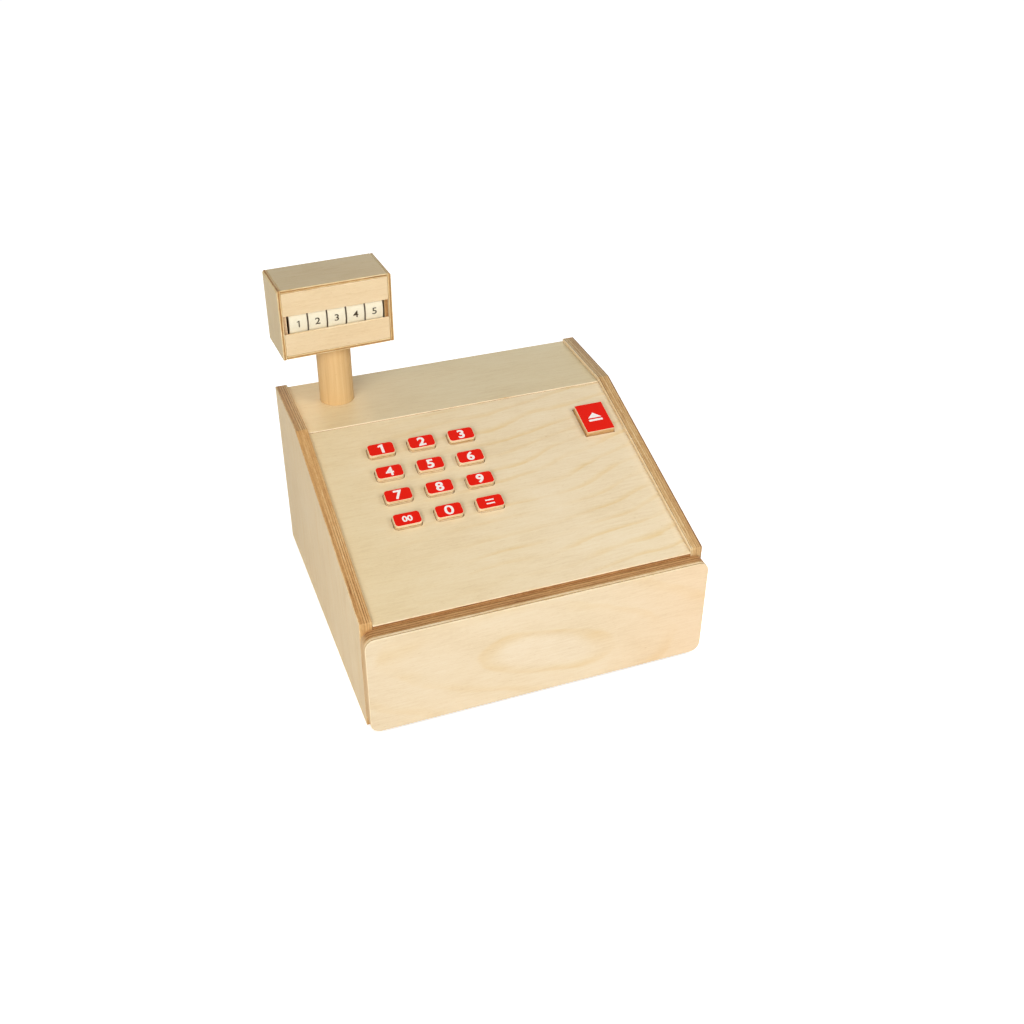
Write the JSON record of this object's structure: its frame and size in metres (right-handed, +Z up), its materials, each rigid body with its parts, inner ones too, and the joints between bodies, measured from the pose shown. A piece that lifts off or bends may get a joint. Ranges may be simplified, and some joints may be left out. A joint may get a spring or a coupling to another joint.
{
  "type": "play cash register",
  "caption": "Wooden play cash register with a sloping board of red keys, a sliding drawer with compartments, and a display box of turning number drums on a round mast.",
  "frame": {"origin": "middle of the cabinet's footprint, without the drawer front's overhang, on the surface it stands on", "axes": "+X to the right as seen from the front, -Y towards the person at the keys, +Z up"},
  "size_m": [0.3418, 0.3423, 0.3303],
  "materials": {
    "plywood": "satin",
    "dark_ply": "matte",
    "turned_wood": "satin",
    "red_key": "satin",
    "cream_drum": "satin",
    "steel": "satin",
    "foam": "matte",
    "white_print": "matte",
    "grey_print": "matte"
  },
  "bodies": {
    "cabinet": {"left_side_panel": "plywood", "right_side_panel": "plywood", "top_board": "plywood", "keypad_board": "plywood", "back_panel": "plywood", "base_board": "plywood", "left_guide_strip": "turned_wood", "right_guide_strip": "turned_wood", "key_shelf": "plywood", "key_return_pad": "foam", "cash_return_pad": "foam", "latch_pin": "steel", "latch_spacer": "turned_wood", "spring_dowel": "turned_wood", "drawer_spring": "steel", "mast_post": "turned_wood", "swivel_screw": "steel", "swivel_washer": "steel"},
    "drawer": {"drawer_front": "plywood", "drawer_left_side": "plywood", "drawer_right_side": "plywood", "drawer_back": "plywood", "drawer_bottom": "plywood", "cross_divider": "plywood", "coin_divider_1": "plywood", "coin_divider_2": "plywood", "coin_divider_3": "plywood", "note_divider_1": "plywood", "note_divider_2": "plywood"},
    "display": {"display_left_side": "plywood", "display_right_side": "plywood", "display_top": "plywood", "display_bottom": "plywood", "front_upper_strip": "plywood", "front_lower_strip": "plywood", "back_upper_strip": "plywood", "back_lower_strip": "plywood", "left_cheek": "dark_ply", "right_cheek": "dark_ply", "drum_axle": "steel"},
    "latch": {"latch_lever": "dark_ply"},
    "cash_key": {"cash_key": "red_key"},
    "key_1": {"key_1": "red_key"},
    "key_2": {"key_2": "red_key"},
    "key_3": {"key_3": "red_key"},
    "key_4": {"key_4": "red_key"},
    "key_5": {"key_5": "red_key"},
    "key_6": {"key_6": "red_key"},
    "key_7": {"key_7": "red_key"},
    "key_8": {"key_8": "red_key"},
    "key_9": {"key_9": "red_key"},
    "key_double_zero": {"key_double_zero": "red_key"},
    "key_0": {"key_0": "red_key"},
    "key_equals": {"key_equals": "red_key"},
    "number_drum_1": {"number_drum_1": "cream_drum"},
    "number_drum_2": {"number_drum_2": "cream_drum"},
    "number_drum_3": {"number_drum_3": "cream_drum"},
    "number_drum_4": {"number_drum_4": "cream_drum"},
    "number_drum_5": {"number_drum_5": "cream_drum"}
  },
  "joints": [
    {"name": "key_1_press", "type": "slide", "parent": "cabinet", "child": "key_1", "axis": [0, 0.2979, -0.9546], "range_m": [0, 0.003], "stiffness_N_per_m": 300, "springref_m": -0.002, "deforming": ["key_return_pad"]},
    {"name": "key_2_press", "type": "slide", "parent": "cabinet", "child": "key_2", "axis": [0, 0.2979, -0.9546], "range_m": [0, 0.003], "stiffness_N_per_m": 300, "springref_m": -0.002, "deforming": ["key_return_pad"]},
    {"name": "key_3_press", "type": "slide", "parent": "cabinet", "child": "key_3", "axis": [0, 0.2979, -0.9546], "range_m": [0, 0.003], "stiffness_N_per_m": 300, "springref_m": -0.002, "deforming": ["key_return_pad"]},
    {"name": "key_4_press", "type": "slide", "parent": "cabinet", "child": "key_4", "axis": [0, 0.2979, -0.9546], "range_m": [0, 0.003], "stiffness_N_per_m": 300, "springref_m": -0.002, "deforming": ["key_return_pad"]},
    {"name": "key_5_press", "type": "slide", "parent": "cabinet", "child": "key_5", "axis": [0, 0.2979, -0.9546], "range_m": [0, 0.003], "stiffness_N_per_m": 300, "springref_m": -0.002, "deforming": ["key_return_pad"]},
    {"name": "key_6_press", "type": "slide", "parent": "cabinet", "child": "key_6", "axis": [0, 0.2979, -0.9546], "range_m": [0, 0.003], "stiffness_N_per_m": 300, "springref_m": -0.002, "deforming": ["key_return_pad"]},
    {"name": "key_7_press", "type": "slide", "parent": "cabinet", "child": "key_7", "axis": [0, 0.2979, -0.9546], "range_m": [0, 0.003], "stiffness_N_per_m": 300, "springref_m": -0.002, "deforming": ["key_return_pad"]},
    {"name": "key_8_press", "type": "slide", "parent": "cabinet", "child": "key_8", "axis": [0, 0.2979, -0.9546], "range_m": [0, 0.003], "stiffness_N_per_m": 300, "springref_m": -0.002, "deforming": ["key_return_pad"]},
    {"name": "key_9_press", "type": "slide", "parent": "cabinet", "child": "key_9", "axis": [0, 0.2979, -0.9546], "range_m": [0, 0.003], "stiffness_N_per_m": 300, "springref_m": -0.002, "deforming": ["key_return_pad"]},
    {"name": "key_double_zero_press", "type": "slide", "parent": "cabinet", "child": "key_double_zero", "axis": [0, 0.2979, -0.9546], "range_m": [0, 0.003], "stiffness_N_per_m": 300, "springref_m": -0.002, "deforming": ["key_return_pad"]},
    {"name": "key_0_press", "type": "slide", "parent": "cabinet", "child": "key_0", "axis": [0, 0.2979, -0.9546], "range_m": [0, 0.003], "stiffness_N_per_m": 300, "springref_m": -0.002, "deforming": ["key_return_pad"]},
    {"name": "key_equals_press", "type": "slide", "parent": "cabinet", "child": "key_equals", "axis": [0, 0.2979, -0.9546], "range_m": [0, 0.003], "stiffness_N_per_m": 300, "springref_m": -0.002, "deforming": ["key_return_pad"]},
    {"name": "cash_key_press", "type": "slide", "parent": "cabinet", "child": "cash_key", "axis": [0, 0.2979, -0.9546], "range_m": [0, 0.004], "stiffness_N_per_m": 500, "springref_m": -0.003, "deforming": ["cash_return_pad"]},
    {"name": "latch_turn", "type": "hinge", "parent": "cabinet", "child": "latch", "pos_m": [0.1308, 0.06732, 0.1109], "axis": [1, 0, 0], "range_deg": [0, 6.2]},
    {"name": "drawer_slide", "type": "slide", "parent": "cabinet", "child": "drawer", "axis": [0, -1, 0], "range_m": [0, 0.2]},
    {"name": "display_swivel", "type": "hinge", "parent": "cabinet", "child": "display", "pos_m": [-0.1134, 0.123, 0.2568], "axis": [0, 0, 1], "continuous": true},
    {"name": "number_drum_1_turn", "type": "hinge", "parent": "display", "child": "number_drum_1", "pos_m": [-0.1134, 0.123, 0.2932], "axis": [0.9986, 0.0523, 0], "continuous": true},
    {"name": "number_drum_2_turn", "type": "hinge", "parent": "display", "child": "number_drum_2", "pos_m": [-0.1134, 0.123, 0.2932], "axis": [0.9986, 0.0523, 0], "continuous": true},
    {"name": "number_drum_3_turn", "type": "hinge", "parent": "display", "child": "number_drum_3", "pos_m": [-0.1134, 0.123, 0.2932], "axis": [0.9986, 0.0523, 0], "continuous": true},
    {"name": "number_drum_4_turn", "type": "hinge", "parent": "display", "child": "number_drum_4", "pos_m": [-0.1134, 0.123, 0.2932], "axis": [0.9986, 0.0523, 0], "continuous": true},
    {"name": "number_drum_5_turn", "type": "hinge", "parent": "display", "child": "number_drum_5", "pos_m": [-0.1134, 0.123, 0.2932], "axis": [0.9986, 0.0523, 0], "continuous": true}
  ],
  "couplings": [
    {"joint": "latch_turn", "follows": "cash_key_press", "rad_per_m": 25.9}
  ]
}
